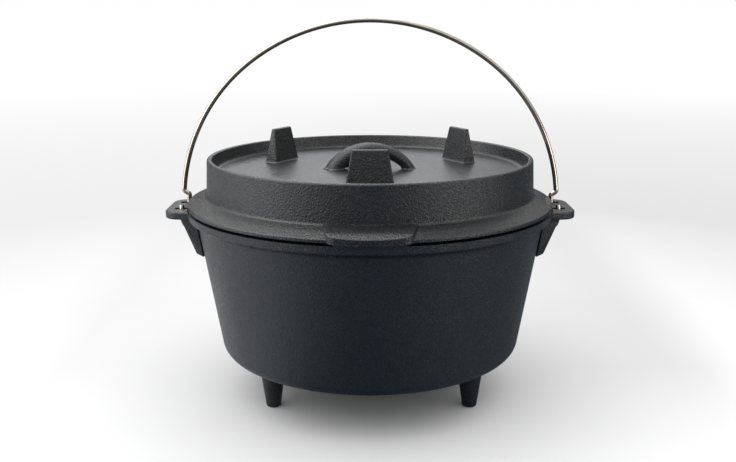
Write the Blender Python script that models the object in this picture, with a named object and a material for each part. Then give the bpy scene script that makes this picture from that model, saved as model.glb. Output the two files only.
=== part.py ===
"""Camp dutch oven in cast iron.

Three loose pieces: the pot with its three legs and two slotted ears, the flanged lid that
turns over into a pan on its own three feet, and the wire bail that hooks into the ears.
Metres, +Z up. The origin is on the pot's axis, on the ground; the lid's tab faces -Y.
"""
import math

import bmesh
import bpy
from mathutils import Matrix, Vector

# Pot
MOUTH_RADIUS = 0.1538
POT_HEIGHT = 0.1350
WALL = 0.0045
WALL_DRAFT = math.radians(9.46)
BASE_THICKNESS = 0.0050
BASE_CORNER = 0.0120
INNER_CORNER = 0.0140
MOUTH_ROUND = 0.0020
COLLAR_WIDTH = 0.0064
COLLAR_HEIGHT = 0.0078
COLLAR_DRAFT = 0.0008
COLLAR_BLEND = 0.0042
COLLAR_FILLET = 0.0040
COLLAR_LOWER_ROUND = 0.0015
COLLAR_TOP_ROUND = 0.0013

# Legs of the pot
LEG_HEIGHT = 0.0432
LEG_INSET = 0.0336
LEG_TIP_RADIUS = 0.0064
LEG_ROOT_RADIUS = 0.0124
LEG_TIP_ROUND = 0.0018
LEG_ROOT_FLARE = 0.0025
LEG_COUNT = 3

# Ears of the pot, and the slots that the bail hooks through
EAR_DROP = 0.0038
EAR_THICKNESS = 0.0070
EAR_END = 0.0077
EAR_MARGIN = 0.0110
EAR_FLARE = 0.0050
EAR_CORNER = 0.0140
EAR_EDGE_ROUND = 0.0018
BRIDGE_WIDTH = 0.0206
SLOT_WIDTH = 0.0108
SLOT_SETBACK = 0.0005
SLOT_CLEARANCE = 0.0008
SLOT_ROUND = 0.0015
RIB_MARGIN = 0.0030
RIB_THICKNESS = 0.0075
RIB_REACH = 0.0126
RIB_DEPTH = 0.0322
RIB_FOOT = 0.0048
RIB_FOOT_SLOPE = 0.0026
RIB_FOOT_ROUND = 0.0015
RIB_FILLET = 0.0045
RIB_RUNOUT = 0.0036
RIB_SINK = 0.0004

# Lid
SEAT_GAP = 0.0003
LID_HEIGHT = 0.0423
LID_WALL = 0.0043
LID_WALL_DRAFT = 0.0014
LID_RIM_WIDTH = 0.0042
LID_RIM_OUTER_ROUND = 0.0018
LID_RIM_INNER_ROUND = 0.0015
PLATE_THICKNESS = 0.0047
TRAY_DEPTH = 0.0121
TRAY_WALL_SLOPE = 0.0030
TRAY_FILLET = 0.0036
PAN_CORNER = 0.0080
PAN_DRAFT = 0.0024
FLANGE_SETBACK = 0.0007
FLANGE_WIDTH = 0.0168
FLANGE_EDGE = 0.0032
FLANGE_RISE = 0.0102
FLANGE_EDGE_ROUND = 0.0009
FLANGE_FILLET = 0.0030
LIP_DEPTH = 0.0030
LIP_CLEARANCE = 0.0020
LIP_ROUND = 0.0008
LIFT_FORWARD_PER_RISE = 1.25

# Tab at the front of the lid's flange
TAB_REACH = 0.0038
TAB_EDGE = 0.0044
TAB_RISE = 0.0055
TAB_ROOT_WIDTH = 0.0740
TAB_SHOULDER_WIDTH = 0.0644
TAB_TIP_WIDTH = 0.0540
TAB_CORNER = 0.0070
TAB_EDGE_ROUND = 0.0009

# Feet and loop handle on top of the lid
FOOT_INSET = 0.0485
FOOT_OFFSET = 0.0026
FOOT_HEIGHT = 0.0316
FOOT_TOP_WIDTH = 0.0280
FOOT_TOP_DEPTH = 0.0040
FOOT_BASE_WIDTH = 0.0393
FOOT_BASE_DEPTH = 0.0137
FOOT_ROUND = 0.0010
FOOT_COUNT = 3
HANDLE_SPAN = 0.0824
HANDLE_RISE = 0.0241
HANDLE_ROD_RIGHT = 0.0090
HANDLE_ROD_LEFT = 0.0178
HANDLE_OFFSET = 0.0030

# Bail
WIRE = 0.0046
HOOK_CLEARANCE = 0.0012
HOOK_SWEEP = math.radians(199)
HOOK_OFFSET = 0.0014
LEG_CLEARANCE = 0.0010
JOG = 0.0050
JOG_BOTTOM = 0.0102
JOG_TOP = 0.0163
BAIL_HEIGHT = 0.1716
BAIL_TOP_RADIUS = 0.1812
BAIL_TOP_ANGLE = math.radians(37.3)

# Facets
SMOOTH_ANGLE = math.radians(35)
TURN_STEPS = 80
LEG_STEPS = 20
ARC_STEP = math.radians(22)
ROD_SIDES = 16
HANDLE_STEPS = 20
HOOK_STEP = math.radians(14.2)
ARCH_STEP = math.radians(4.6)
JOG_STEPS = 6
EMBED = 0.0020

# Sizes that follow from the ones above
BASE_Z = LEG_HEIGHT
RIM_Z = BASE_Z + POT_HEIGHT
COLLAR_RADIUS = MOUTH_RADIUS + WALL + COLLAR_WIDTH
EAR_TOP_Z = RIM_Z - EAR_DROP
AXIS_Z = EAR_TOP_Z - EAR_THICKNESS / 2
HOOK_RADIUS = math.hypot(BRIDGE_WIDTH / 2, EAR_THICKNESS / 2) + HOOK_CLEARANCE + WIRE / 2
SLOT_END = HOOK_RADIUS + WIRE / 2 + SLOT_CLEARANCE
SLOT_INNER_X = COLLAR_RADIUS + SLOT_SETBACK
SLOT_OUTER_X = SLOT_INNER_X + SLOT_WIDTH
EAR_OUTER_X = SLOT_OUTER_X + EAR_END
RIB_INNER_Y = SLOT_END + RIB_MARGIN
BAIL_LEG_X = SLOT_INNER_X + LEG_CLEARANCE + WIRE / 2
SEAT_Z = RIM_Z + SEAT_GAP
LID_TOP_Z = SEAT_Z + LID_HEIGHT
TRAY_Z = LID_TOP_Z - TRAY_DEPTH
PLATE_UNDERSIDE_Z = TRAY_Z - PLATE_THICKNESS
FLANGE_RADIUS = COLLAR_RADIUS - FLANGE_SETBACK
LID_WALL_RADIUS = FLANGE_RADIUS - FLANGE_WIDTH
LID_RIM_RADIUS = LID_WALL_RADIUS - LID_WALL_DRAFT
TAB_RADIUS = FLANGE_RADIUS + TAB_REACH


def wall_radius(z):
    """Outer radius of the pot's tapered wall at a height."""
    return MOUTH_RADIUS + WALL - (RIM_Z - z) * math.tan(WALL_DRAFT)


def flange_top(radius):
    """Height of the flange's sloping top at a radius."""
    share = (FLANGE_RADIUS - radius) / FLANGE_WIDTH
    return SEAT_Z + FLANGE_EDGE + share * (FLANGE_RISE - FLANGE_EDGE)


def clear_scene():
    for thing in list(bpy.data.objects):
        bpy.data.objects.remove(thing, do_unlink=True)


def metal(name, colour, roughness, metallic):
    material = bpy.data.materials.new(name)
    material.use_nodes = True
    shader = material.node_tree.nodes["Principled BSDF"]
    shader.inputs["Base Color"].default_value = (*colour, 1.0)
    shader.inputs["Roughness"].default_value = roughness
    shader.inputs["Metallic"].default_value = metallic
    return material


def rounded(corners):
    """Points along a path of (a, b, fillet radius) corners, each corner turned into an arc."""
    points = [Vector(corners[0][:2])]
    for before, corner, after in zip(corners, corners[1:], corners[2:]):
        here = Vector(corner[:2])
        into = (Vector(before[:2]) - here).normalized()
        out = (Vector(after[:2]) - here).normalized()
        half = into.angle(out) / 2
        radius = corner[2]
        if radius <= 0:
            points.append(here)
            continue
        centre = here + (into + out).normalized() * (radius / math.sin(half))
        start = here + into * (radius / math.tan(half)) - centre
        turn = math.pi - 2 * half
        if start.x * out.y - start.y * out.x < 0:
            turn = -turn
        steps = max(1, round(abs(turn) / ARC_STEP))
        points += [centre + Matrix.Rotation(turn * i / steps, 2) @ start for i in range(steps + 1)]
    points.append(Vector(corners[-1][:2]))
    return points


def add_object(name, bm, material=None, helper=False):
    """Turn a bmesh into an object; a helper only cuts or joins and isn't drawn."""
    bmesh.ops.recalc_face_normals(bm, faces=bm.faces)
    mesh = bpy.data.meshes.new(name)
    bm.to_mesh(mesh)
    bm.free()
    mesh.shade_smooth()
    mesh.set_sharp_from_angle(angle=SMOOTH_ANGLE)
    thing = bpy.data.objects.new(name, mesh)
    bpy.context.collection.objects.link(thing)
    if material:
        mesh.materials.append(material)
    if helper:
        thing.hide_render = True
        thing.display_type = "WIRE"
    return thing


def turned(points, steps):
    """Spin a profile of (radius, z) points once about the Z axis into a bmesh."""
    bm = bmesh.new()
    verts = [bm.verts.new((p.x, 0, p.y)) for p in points]
    edges = [bm.edges.new(pair) for pair in zip(verts, verts[1:])]
    bmesh.ops.spin(bm, geom=verts + edges, cent=(0, 0, 0), axis=(0, 0, 1), steps=steps,
                   angle=2 * math.pi, use_merge=True)
    bmesh.ops.remove_doubles(bm, verts=bm.verts, dist=1e-6)
    return bm


def prism(points, low, high, place):
    """Extrude a flat outline from low to high; place(a, b, c) gives each corner's (x, y, z)."""
    bm = bmesh.new()
    face = bm.faces.new([bm.verts.new(place(p.x, p.y, low)) for p in points])
    grown = bmesh.ops.extrude_face_region(bm, geom=[face])
    moved = [v for v in grown["geom"] if isinstance(v, bmesh.types.BMVert)]
    shift = Vector(place(0, 0, high)) - Vector(place(0, 0, low))
    bmesh.ops.translate(bm, verts=moved, vec=shift)
    return bm


def bevel(thing, width, segments=2):
    modifier = thing.modifiers.new("edge_round", "BEVEL")
    modifier.width = width
    modifier.segments = segments
    modifier.limit_method = "ANGLE"
    modifier.angle_limit = math.radians(40)


def combine(target, helper, operation):
    modifier = target.modifiers.new(f"{operation.lower()}_{helper.name}", "BOOLEAN")
    modifier.object = helper
    modifier.operation = operation
    modifier.solver = "EXACT"


def settle(thing):
    """Keep the joined shape itself: sharp where it turns by a real edge, level across its flats."""
    evaluated = thing.evaluated_get(bpy.context.evaluated_depsgraph_get())
    mesh = bpy.data.meshes.new_from_object(evaluated)
    mesh.name = thing.name
    thing.modifiers.clear()
    thing.data = mesh
    mesh.set_sharp_from_angle(angle=SMOOTH_ANGLE)
    weighted = thing.modifiers.new("level_normals", "WEIGHTED_NORMAL")
    weighted.keep_sharp = True


def pot_shell(iron):
    """The bowl as one turned profile: base, tapered wall, collar and rim, then back inside."""
    under_collar = RIM_Z - COLLAR_HEIGHT - COLLAR_BLEND
    floor_z = BASE_Z + BASE_THICKNESS
    profile = rounded([
        (0, BASE_Z, 0),
        (wall_radius(BASE_Z), BASE_Z, BASE_CORNER),
        (wall_radius(under_collar), under_collar, COLLAR_FILLET),
        (COLLAR_RADIUS - COLLAR_DRAFT, RIM_Z - COLLAR_HEIGHT, COLLAR_LOWER_ROUND),
        (COLLAR_RADIUS, RIM_Z, COLLAR_TOP_ROUND),
        (MOUTH_RADIUS, RIM_Z, MOUTH_ROUND),
        (wall_radius(floor_z) - WALL, floor_z, INNER_CORNER),
        (0, floor_z, 0),
    ])
    return add_object("pot", turned(profile, TURN_STEPS), iron)


def pot_leg(number):
    """A tapered round leg, flared where it leaves the base."""
    profile = rounded([
        (0, 0, 0),
        (LEG_TIP_RADIUS, 0, LEG_TIP_ROUND),
        (LEG_ROOT_RADIUS, LEG_HEIGHT - LEG_ROOT_FLARE, LEG_ROOT_FLARE),
        (LEG_ROOT_RADIUS + LEG_ROOT_FLARE, LEG_HEIGHT + EMBED, 0),
        (0, LEG_HEIGHT + EMBED, 0),
    ])
    leg = add_object(f"leg_{number}", turned(profile, LEG_STEPS), helper=True)
    ring = wall_radius(BASE_Z) - LEG_INSET
    angle = math.pi / 2 + 2 * math.pi * number / LEG_COUNT
    leg.location = (ring * math.cos(angle), ring * math.sin(angle), 0)
    return leg


def ear_plate(side):
    """The flat ear that both slots are cut through, wider at its root than at its end."""
    root_x = MOUTH_RADIUS + EMBED
    tip_half = SLOT_END + EAR_MARGIN
    root_half = tip_half + EAR_FLARE
    outline = rounded([
        (root_x, 0, 0),
        (root_x, -root_half, 0),
        (EAR_OUTER_X, -tip_half, EAR_CORNER),
        (EAR_OUTER_X, tip_half, EAR_CORNER),
        (root_x, root_half, 0),
        (root_x, 0, 0),
    ])[1:]
    bm = prism(outline, EAR_TOP_Z - EAR_THICKNESS, EAR_TOP_Z, lambda a, b, c: (side * a, b, c))
    plate = add_object(f"ear_plate_{'left' if side < 0 else 'right'}", bm, helper=True)
    bevel(plate, EAR_EDGE_ROUND)
    return plate


def ear_rib(side, end):
    """A gusset that carries one edge of an ear down the wall, with the hook's room beside it."""
    under_z = EAR_TOP_Z - EAR_THICKNESS
    foot_z = under_z - RIB_DEPTH
    low_z = foot_z - RIB_FOOT_SLOPE
    reach = wall_radius(under_z) + RIB_REACH
    outline = rounded([
        (wall_radius(AXIS_Z) - EMBED, AXIS_Z, 0),
        (wall_radius(low_z) - EMBED, low_z, 0),
        (wall_radius(foot_z) + RIB_FOOT, foot_z, RIB_FOOT_ROUND),
        (reach, under_z, RIB_FILLET),
        (reach + RIB_RUNOUT, under_z + RIB_SINK, 0),
        (reach + RIB_RUNOUT, AXIS_Z, 0),
    ])
    low = RIB_INNER_Y if end > 0 else -RIB_INNER_Y - RIB_THICKNESS
    bm = prism(outline, low, low + RIB_THICKNESS, lambda a, b, c: (side * a, c, b))
    names = ("left" if side < 0 else "right", "back" if end > 0 else "front")
    return add_object(f"ear_rib_{names[0]}_{names[1]}", bm, helper=True)


def ear_slot(side, end):
    """The cutter of one slot, straight down through an ear beside its bridge."""
    low_y, high_y = sorted((end * BRIDGE_WIDTH / 2, end * SLOT_END))
    middle = (SLOT_INNER_X + SLOT_OUTER_X) / 2
    outline = rounded([
        (middle, low_y, 0),
        (SLOT_OUTER_X, low_y, SLOT_ROUND),
        (SLOT_OUTER_X, high_y, SLOT_ROUND),
        (SLOT_INNER_X, high_y, SLOT_ROUND),
        (SLOT_INNER_X, low_y, SLOT_ROUND),
        (middle, low_y, 0),
    ])[1:]
    bm = prism(outline, AXIS_Z - EAR_THICKNESS, AXIS_Z + EAR_THICKNESS,
               lambda a, b, c: (side * a, b, c))
    names = ("left" if side < 0 else "right", "back" if end > 0 else "front")
    return add_object(f"ear_slot_{names[0]}_{names[1]}", bm, helper=True)


def build_pot(iron):
    pot = pot_shell(iron)
    for number in range(LEG_COUNT):
        combine(pot, pot_leg(number), "UNION")
    for side in (-1, 1):
        combine(pot, ear_plate(side), "UNION")
        for end in (-1, 1):
            combine(pot, ear_rib(side, end), "UNION")
    for side in (-1, 1):
        for end in (-1, 1):
            combine(pot, ear_slot(side, end), "DIFFERENCE")
    settle(pot)


def lid_shell(iron):
    """The lid as one turned profile: pan side, locating lip, flange, wall, rim and tray."""
    lip_radius = MOUTH_RADIUS - LIP_CLEARANCE
    lip_z = SEAT_Z - LIP_DEPTH
    pan_radius = LID_RIM_RADIUS - LID_WALL
    tray_radius = LID_RIM_RADIUS - LID_RIM_WIDTH - TRAY_WALL_SLOPE
    profile = rounded([
        (0, PLATE_UNDERSIDE_Z, 0),
        (pan_radius, PLATE_UNDERSIDE_Z, PAN_CORNER),
        (pan_radius + PAN_DRAFT, lip_z, LIP_ROUND),
        (lip_radius - LIP_DEPTH * LIFT_FORWARD_PER_RISE, lip_z, LIP_ROUND),
        (lip_radius, SEAT_Z, 0),
        (FLANGE_RADIUS, SEAT_Z, FLANGE_EDGE_ROUND),
        (FLANGE_RADIUS, flange_top(FLANGE_RADIUS), FLANGE_EDGE_ROUND),
        (LID_WALL_RADIUS, flange_top(LID_WALL_RADIUS), FLANGE_FILLET),
        (LID_RIM_RADIUS, LID_TOP_Z, LID_RIM_OUTER_ROUND),
        (LID_RIM_RADIUS - LID_RIM_WIDTH, LID_TOP_Z, LID_RIM_INNER_ROUND),
        (tray_radius, TRAY_Z, TRAY_FILLET),
        (0, TRAY_Z, 0),
    ])
    return add_object("lid", turned(profile, TURN_STEPS), iron)


def lid_tab(steps=8):
    """The lifting tab: a wedge that grows out of the flange, trimmed to its curved outline."""
    root = LID_WALL_RADIUS - EMBED
    side = rounded([
        (-root, SEAT_Z, 0),
        (-TAB_RADIUS, SEAT_Z, 0),
        (-TAB_RADIUS, SEAT_Z + TAB_EDGE, 0),
        (-root, SEAT_Z + TAB_EDGE + TAB_RISE, 0),
    ])
    wedge = prism(side, -TAB_ROOT_WIDTH / 2, TAB_ROOT_WIDTH / 2, lambda a, b, c: (c, a, b))
    tab = add_object("tab_wedge", wedge, helper=True)
    tip = math.asin(TAB_TIP_WIDTH / 2 / TAB_RADIUS)
    angles = [tip * (2 * i / steps - 1) for i in range(steps + 1)]
    front = [(TAB_RADIUS * math.sin(a), -TAB_RADIUS * math.cos(a), 0) for a in angles]
    shoulder_y = front[0][1] + (TAB_SHOULDER_WIDTH - TAB_TIP_WIDTH) / 4
    outline = rounded([
        (0, -root + EMBED, 0),
        (-TAB_ROOT_WIDTH / 2, -root + EMBED, 0),
        (-TAB_SHOULDER_WIDTH / 2, shoulder_y, TAB_CORNER),
        *front,
        (TAB_SHOULDER_WIDTH / 2, shoulder_y, TAB_CORNER),
        (TAB_ROOT_WIDTH / 2, -root + EMBED, 0),
        (0, -root + EMBED, 0),
    ])[1:]
    plan = prism(outline, SEAT_Z - EMBED, LID_TOP_Z, lambda a, b, c: (a, b, c))
    combine(tab, add_object("tab_outline", plan, helper=True), "INTERSECT")
    bevel(tab, TAB_EDGE_ROUND)
    return tab


def lid_foot(number):
    """A wedge-shaped foot, wide along the rim and thin across it, tapered on all four sides."""
    bm = bmesh.new()
    bmesh.ops.create_cube(bm, size=1.0)
    for vert in bm.verts:
        top = vert.co.z > 0
        width = FOOT_TOP_WIDTH if top else FOOT_BASE_WIDTH
        depth = FOOT_TOP_DEPTH if top else FOOT_BASE_DEPTH
        vert.co = (vert.co.x * width, vert.co.y * depth, FOOT_HEIGHT if top else -EMBED)
    foot = add_object(f"foot_{number}", bm, helper=True)
    bevel(foot, FOOT_ROUND)
    ring = LID_RIM_RADIUS - FOOT_INSET
    angle = 2 * math.pi * number / FOOT_COUNT
    foot.location = (ring * math.sin(angle), -ring * math.cos(angle) - FOOT_OFFSET, TRAY_Z)
    foot.rotation_euler = (0, 0, angle)
    return foot


def lid_handle():
    """The loop handle: an arched round rod, stouter towards its left end, sunk in the plate."""
    half_span = HANDLE_SPAN / 2
    outer = (half_span ** 2 + HANDLE_RISE ** 2) / (2 * HANDLE_RISE)
    root = math.asin((outer - HANDLE_RISE) / outer)
    bm = bmesh.new()
    rings = []
    for i in range(HANDLE_STEPS + 1):
        turn = math.pi * i / HANDLE_STEPS
        share = (turn - root) / (math.pi - 2 * root)
        radius = (HANDLE_ROD_RIGHT + (HANDLE_ROD_LEFT - HANDLE_ROD_RIGHT) * share) / 2
        ring = []
        for j in range(ROD_SIDES):
            around = 2 * math.pi * j / ROD_SIDES
            out = outer - radius + radius * math.cos(around)
            ring.append(bm.verts.new((out * math.cos(turn), radius * math.sin(around),
                                      out * math.sin(turn))))
        rings.append(ring)
    for ring, following in zip(rings, rings[1:]):
        for j in range(ROD_SIDES):
            after = (j + 1) % ROD_SIDES
            bm.faces.new((ring[j], ring[after], following[after], following[j]))
    bmesh.ops.bisect_plane(bm, geom=list(bm.verts) + list(bm.edges) + list(bm.faces), dist=1e-7,
                           plane_co=(0, 0, outer - HANDLE_RISE - EMBED), plane_no=(0, 0, 1),
                           clear_inner=True)
    bmesh.ops.edgeloop_fill(bm, edges=[edge for edge in bm.edges if edge.is_boundary])
    handle = add_object("handle", bm, helper=True)
    handle.location = (0, -HANDLE_OFFSET, TRAY_Z + HANDLE_RISE - outer)
    return handle


def build_lid(iron):
    lid = lid_shell(iron)
    combine(lid, lid_tab(), "UNION")
    for number in range(FOOT_COUNT):
        combine(lid, lid_foot(number), "UNION")
    combine(lid, lid_handle(), "UNION")
    settle(lid)


def bail_half(side):
    """The wire's centre line from one hook's tip up to just short of the top, about the pivot."""
    wide = BAIL_LEG_X + JOG
    sine = math.sin(BAIL_TOP_ANGLE)
    side_radius = (wide - BAIL_TOP_RADIUS * sine) / (1 - sine)
    top_centre_z = BAIL_HEIGHT - BAIL_TOP_RADIUS
    side_centre = Vector((sine, math.cos(BAIL_TOP_ANGLE))) * (BAIL_TOP_RADIUS - side_radius)
    side_centre.y += top_centre_z
    points = []
    hook_steps = round(HOOK_SWEEP / HOOK_STEP)
    for i in range(hook_steps):
        share = 1 - i / hook_steps
        angle = -HOOK_SWEEP * share
        x = BAIL_LEG_X + HOOK_OFFSET * share
        points.append((x, HOOK_RADIUS * math.cos(angle), HOOK_RADIUS * math.sin(angle)))
    points.append((BAIL_LEG_X, HOOK_RADIUS, 0))
    jog_angle = math.acos((JOG_TOP - side_centre.y) / side_radius)
    jog_x = side_centre.x + side_radius * math.sin(jog_angle)
    for i in range(JOG_STEPS):
        share = i / JOG_STEPS
        ease = share * share * (3 - 2 * share)
        points.append((BAIL_LEG_X + (jog_x - BAIL_LEG_X) * ease, HOOK_RADIUS,
                       JOG_BOTTOM + (JOG_TOP - JOG_BOTTOM) * share))
    side_steps = round((jog_angle - BAIL_TOP_ANGLE) / ARCH_STEP)
    for i in range(side_steps):
        angle = jog_angle + (BAIL_TOP_ANGLE - jog_angle) * i / side_steps
        points.append((side_centre.x + side_radius * math.sin(angle), HOOK_RADIUS,
                       side_centre.y + side_radius * math.cos(angle)))
    top_steps = round(BAIL_TOP_ANGLE / ARCH_STEP)
    for i in range(top_steps):
        angle = BAIL_TOP_ANGLE * (1 - i / top_steps)
        points.append((BAIL_TOP_RADIUS * math.sin(angle), HOOK_RADIUS,
                       top_centre_z + BAIL_TOP_RADIUS * math.cos(angle)))
    return [(side * x, y, z) for x, y, z in points]


def bail_lean():
    """How far the bail leans back until its legs rest on the back ends of the slots."""
    corner = Vector((SLOT_END, EAR_THICKNESS / 2))
    return (math.acos((HOOK_RADIUS + WIRE / 2 + SEAT_GAP) / corner.length)
            - math.atan2(corner.y, corner.x))


def build_bail(steel):
    """One bent wire, its origin on the pivot through both bridges."""
    points = bail_half(-1) + [(0, HOOK_RADIUS, BAIL_HEIGHT)] + bail_half(1)[::-1]
    curve = bpy.data.curves.new("bail", "CURVE")
    curve.dimensions = "3D"
    curve.bevel_depth = WIRE / 2
    curve.bevel_resolution = 4
    curve.use_fill_caps = True
    spline = curve.splines.new("POLY")
    spline.points.add(len(points) - 1)
    for target, point in zip(spline.points, points):
        target.co = (*point, 1)
    curve.materials.append(steel)
    bail = bpy.data.objects.new("bail", curve)
    bpy.context.collection.objects.link(bail)
    bail.location = (0, 0, AXIS_Z)
    bail.rotation_euler = (-bail_lean(), 0, 0)


def main():
    clear_scene()
    build_pot(metal("pot_iron", (0.042, 0.045, 0.050), 0.55, 0.3))
    build_lid(metal("lid_iron", (0.046, 0.048, 0.052), 0.50, 0.3))
    build_bail(metal("bail_steel", (0.62, 0.61, 0.58), 0.25, 1.0))


main()
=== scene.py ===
# %% [markdown]
# # A camp dutch oven in Blender
#
# A camp dutch oven is three loose things: a cast iron pot that stands over the coals on three
# legs, a flat flanged lid with a rim that holds more coals on top, and a wire bail to hang it
# from. The rough model of all three is loaded first. It says where everything is and how it
# moves, and it is never changed. Finer pieces with real finishes are then modelled over it.

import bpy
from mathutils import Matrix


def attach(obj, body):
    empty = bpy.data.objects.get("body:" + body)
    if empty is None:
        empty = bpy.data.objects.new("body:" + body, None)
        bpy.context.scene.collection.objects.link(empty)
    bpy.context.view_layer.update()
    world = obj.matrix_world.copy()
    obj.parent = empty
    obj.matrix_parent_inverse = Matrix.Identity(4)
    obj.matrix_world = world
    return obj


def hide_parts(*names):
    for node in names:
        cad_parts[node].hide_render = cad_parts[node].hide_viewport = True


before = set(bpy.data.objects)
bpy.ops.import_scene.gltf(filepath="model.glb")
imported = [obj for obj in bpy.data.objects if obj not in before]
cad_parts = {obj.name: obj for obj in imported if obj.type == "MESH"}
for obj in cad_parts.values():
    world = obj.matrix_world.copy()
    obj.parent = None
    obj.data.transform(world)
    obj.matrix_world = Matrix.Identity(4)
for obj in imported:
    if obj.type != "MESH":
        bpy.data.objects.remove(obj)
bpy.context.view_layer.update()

# %% [markdown]
# ## The camera
#
# The picture was taken from a little above the lid and straight in front of its tab, with a
# lens somewhat longer than the picture is wide. A camera could be placed by eye, but here its
# place was solved from the outlines of the rims, the legs and the bail, for a mouth that is
# taken as twelve inches across. The picture is 736 pixels wide and the focal length 900 of
# them, which sets the lens on Blender's 36 mm sensor. A shift of four pixels does the framing.

# %% Add the camera
import math

import bpy
from mathutils import Matrix, Vector

PICTURE_WIDTH = 736
FOCAL_PIXELS = 900
SHIFT_PIXELS = 3.736
SENSOR = 36.0
CAMERA_PLACE = (0.0014913, -0.8088851, 0.3427841)
CAMERA_DIP = 0.2338041
CAMERA_TILT = math.radians(90) - CAMERA_DIP

bpy.ops.object.select_all(action="DESELECT")
bpy.ops.object.camera_add(location=CAMERA_PLACE, rotation=(CAMERA_TILT, 0, 0))
camera = bpy.context.object
camera.name = "photo_camera"
camera.data.sensor_width = SENSOR
camera.data.lens = SENSOR * FOCAL_PIXELS / PICTURE_WIDTH
camera.data.shift_x = -SHIFT_PIXELS / PICTURE_WIDTH
camera.data.clip_start = 0.001
bpy.context.scene.camera = camera
bpy.context.scene.view_settings.view_transform = "Standard"
print("lens", round(camera.data.lens, 2), "mm, tilted down",
      round(math.degrees(CAMERA_DIP), 1), "degrees")

# %% [markdown]
# ## Working with operators
#
# Every piece below is modelled with Blender's own operators, as by hand. Operators act on
# whatever is selected, so each piece starts from a clean selection. Most pieces begin as a
# chain of edges: a tiny plane is merged to a single vertex, moved to the first point, and
# extruded from point to point. The chain is then spun round an axis, for what a foundry would
# turn, or filled and extruded, for what it would cut from plate. Corners are rounded before
# that, while they are still points.

# %% Helpers for a chain of edges
ARC_STEP = math.radians(9)


def only(*things):
    """Select these objects and nothing else, the first one active."""
    if bpy.context.object and bpy.context.object.mode != "OBJECT":
        bpy.ops.object.mode_set(mode="OBJECT")
    bpy.ops.object.select_all(action="DESELECT")
    for thing in things:
        thing.select_set(True)
    bpy.context.view_layer.objects.active = things[0] if things else None


def edit(piece):
    """Open one piece in edit mode with all of it selected."""
    only(piece)
    bpy.ops.object.mode_set(mode="EDIT")
    bpy.ops.mesh.select_all(action="SELECT")


def rounded(corners):
    """Points along a path of (a, b, radius) corners, with an arc at every corner of a radius."""
    points = [Vector(corners[0][:2])]
    for before, corner, after in zip(corners, corners[1:], corners[2:]):
        here = Vector(corner[:2])
        into = (Vector(before[:2]) - here).normalized()
        out = (Vector(after[:2]) - here).normalized()
        half = into.angle(out) / 2
        radius = corner[2]
        if radius <= 0:
            points.append(here)
            continue
        centre = here + (into + out).normalized() * (radius / math.sin(half))
        start = here + into * (radius / math.tan(half)) - centre
        turn = math.pi - 2 * half
        if start.x * out.y - start.y * out.x < 0:
            turn = -turn
        steps = max(2, round(abs(turn) / ARC_STEP))
        points += [centre + Matrix.Rotation(turn * i / steps, 2) @ start
                   for i in range(steps + 1)]
    points.append(Vector(corners[-1][:2]))
    return points


def draw_chain(name, points):
    """A new piece, left in edit mode: one vertex extruded through all the points."""
    only()
    bpy.ops.mesh.primitive_plane_add(size=0.001, location=(0, 0, 0))
    piece = bpy.context.object
    piece.name = piece.data.name = name
    bpy.ops.object.mode_set(mode="EDIT")
    bpy.ops.mesh.merge(type="CENTER")
    points = [Vector(point) for point in points]
    bpy.ops.transform.translate(value=points[0])
    for before, after in zip(points, points[1:]):
        bpy.ops.mesh.extrude_region_move(TRANSFORM_OT_translate={"value": after - before})
    return piece


def apply_modifier(piece, kind, **settings):
    """Add a modifier with its settings and apply it at once."""
    only(piece)
    modifier = piece.modifiers.new(kind.lower(), kind)
    for name, value in settings.items():
        setattr(modifier, name, value)
    bpy.ops.object.modifier_apply(modifier=modifier.name)


def tidy_mesh(piece, sharp=35):
    """Merge doubles, point the faces outwards and shade smooth up to an angle in degrees."""
    edit(piece)
    bpy.ops.mesh.remove_doubles(threshold=1e-6)
    bpy.ops.mesh.normals_make_consistent(inside=False)
    bpy.ops.object.mode_set(mode="OBJECT")
    bpy.ops.object.shade_smooth_by_angle(angle=math.radians(sharp))
    apply_modifier(piece, "WEIGHTED_NORMAL", keep_sharp=True)
    print(piece.name, len(piece.data.polygons), "faces")


# %% [markdown]
# ## The pot's bowl
#
# The bowl is cast in sand with a wall of about 4.5 mm that leans outwards, so that the pattern
# comes out of the mould. A thicker collar runs round its mouth. Everything on it is round, so
# half of its section is drawn, from the middle of the base, up the outside, over the rim and
# down the inside again, and spun once about the upright axis. Fillets are part of the section,
# because a casting has no sharp corner.

# %% Spin the bowl
MOUTH_RADIUS = 0.1538
WALL = 0.0045
DRAFT = math.radians(9.46)
BASE_Z = 0.0432
RIM_Z = BASE_Z + 0.1350
BASE_THICKNESS = 0.0050
COLLAR_RADIUS = MOUTH_RADIUS + WALL + 0.0064
COLLAR_HEIGHT = 0.0078
COLLAR_BLEND = 0.0042
COLLAR_DRAFT = 0.0008
ROUND_STEPS = 192
ROUND_STEP = 2 * math.pi / ROUND_STEPS


def wall_radius(z):
    """Outer radius of the leaning wall at a height."""
    return MOUTH_RADIUS + WALL - (RIM_Z - z) * math.tan(DRAFT)


def spin_round(piece, steps=ROUND_STEPS, centre=(0, 0, 0), angle=2 * math.pi):
    """Spin what is drawn about an upright axis and close the poles."""
    bpy.ops.mesh.select_all(action="SELECT")
    bpy.ops.mesh.spin(steps=steps, angle=angle, center=centre, axis=(0, 0, 1),
                      use_auto_merge=angle > 6)


under_collar = RIM_Z - COLLAR_HEIGHT - COLLAR_BLEND
floor_z = BASE_Z + BASE_THICKNESS


def collar_corners(hair=0.0):
    """The collar's outside from the wall up to the rim, as corners; hair lays it lower."""
    return [
        (wall_radius(under_collar) - hair, under_collar, 0.0040),
        (COLLAR_RADIUS - COLLAR_DRAFT - hair, RIM_Z - COLLAR_HEIGHT, 0.0015),
        (COLLAR_RADIUS - hair, RIM_Z - hair, 0.0013),
    ]


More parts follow.
